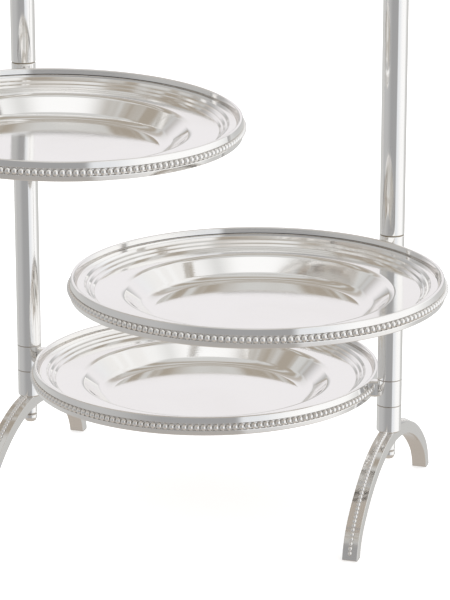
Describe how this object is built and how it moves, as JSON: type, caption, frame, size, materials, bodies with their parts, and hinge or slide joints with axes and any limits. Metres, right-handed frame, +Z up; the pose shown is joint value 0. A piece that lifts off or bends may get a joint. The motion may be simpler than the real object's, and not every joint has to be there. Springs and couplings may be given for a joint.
{
  "type": "folding cake stand",
  "caption": "Folding tiered cake stand: beaded rings with lift-out dishes swing on two posts with arched feet and an arched handle.",
  "frame": {"origin": "on the table, midway between the two post axes", "axes": "+Z up; X runs through both posts, with the post that carries the middle ring on +X; the front, where the rings swing out, faces -Y"},
  "size_m": [0.3617, 0.3438, 0.49],
  "materials": {
    "silver": "mirror-polished silver plate",
    "dish_silver": "mirror-polished silver plate with faint polishing lines",
    "bead_silver": "polished silver plate, darker between the beads",
    "cast_silver": "polished silver-plated casting",
    "brass": "turned brass",
    "steel": "zinc-bright steel rod"
  },
  "bodies": {
    "stand": {"bottom_bead_border": "bead_silver", "bottom_ring": "silver", "handle_arch": "silver", "left_bottom_bush": "brass", "left_bottom_collar": "silver", "left_cap_nut": "silver", "left_foot": "cast_silver", "left_foot_sleeve": "silver", "left_handle_spigot": "silver", "left_lower_tube": "silver", "left_pivot_bush": "brass", "left_rod_plug": "steel", "left_swivel_washers": "brass", "left_tie_rod": "steel", "left_upper_tube": "silver", "right_bottom_bush": "brass", "right_bottom_collar": "silver", "right_cap_nut": "silver", "right_foot": "cast_silver", "right_foot_sleeve": "silver", "right_handle_spigot": "silver", "right_lower_tube": "silver", "right_pivot_bush": "brass", "right_rod_plug": "steel", "right_swivel_washers": "brass", "right_tie_rod": "steel", "right_upper_tube": "silver"},
    "middle_tier": {"middle_bead_border": "bead_silver", "middle_collar": "silver", "middle_ring": "silver"},
    "top_tier": {"top_bead_border": "bead_silver", "top_collar": "silver", "top_ring": "silver"},
    "bottom_dish": {"bottom_dish": "dish_silver"},
    "middle_dish": {"middle_dish": "dish_silver"},
    "top_dish": {"top_dish": "dish_silver"}
  },
  "joints": [
    {"name": "middle_swing", "type": "hinge", "parent": "stand", "child": "middle_tier", "pos_m": [0.125, 0, 0.18], "axis": [0, 0, 1], "continuous": true},
    {"name": "top_swing", "type": "hinge", "parent": "stand", "child": "top_tier", "pos_m": [-0.125, 0, 0.2765], "axis": [0, 0, -1], "continuous": true},
    {"name": "bottom_dish_lift", "type": "slide", "parent": "stand", "child": "bottom_dish", "axis": [0, 0, 1], "range_m": [0, 0.04]},
    {"name": "middle_dish_lift", "type": "slide", "parent": "middle_tier", "child": "middle_dish", "axis": [0, 0, 1], "range_m": [0, 0.04]},
    {"name": "top_dish_lift", "type": "slide", "parent": "top_tier", "child": "top_dish", "axis": [0.0356, -0.0254, 0.999], "range_m": [0, 0.04]}
  ]
}
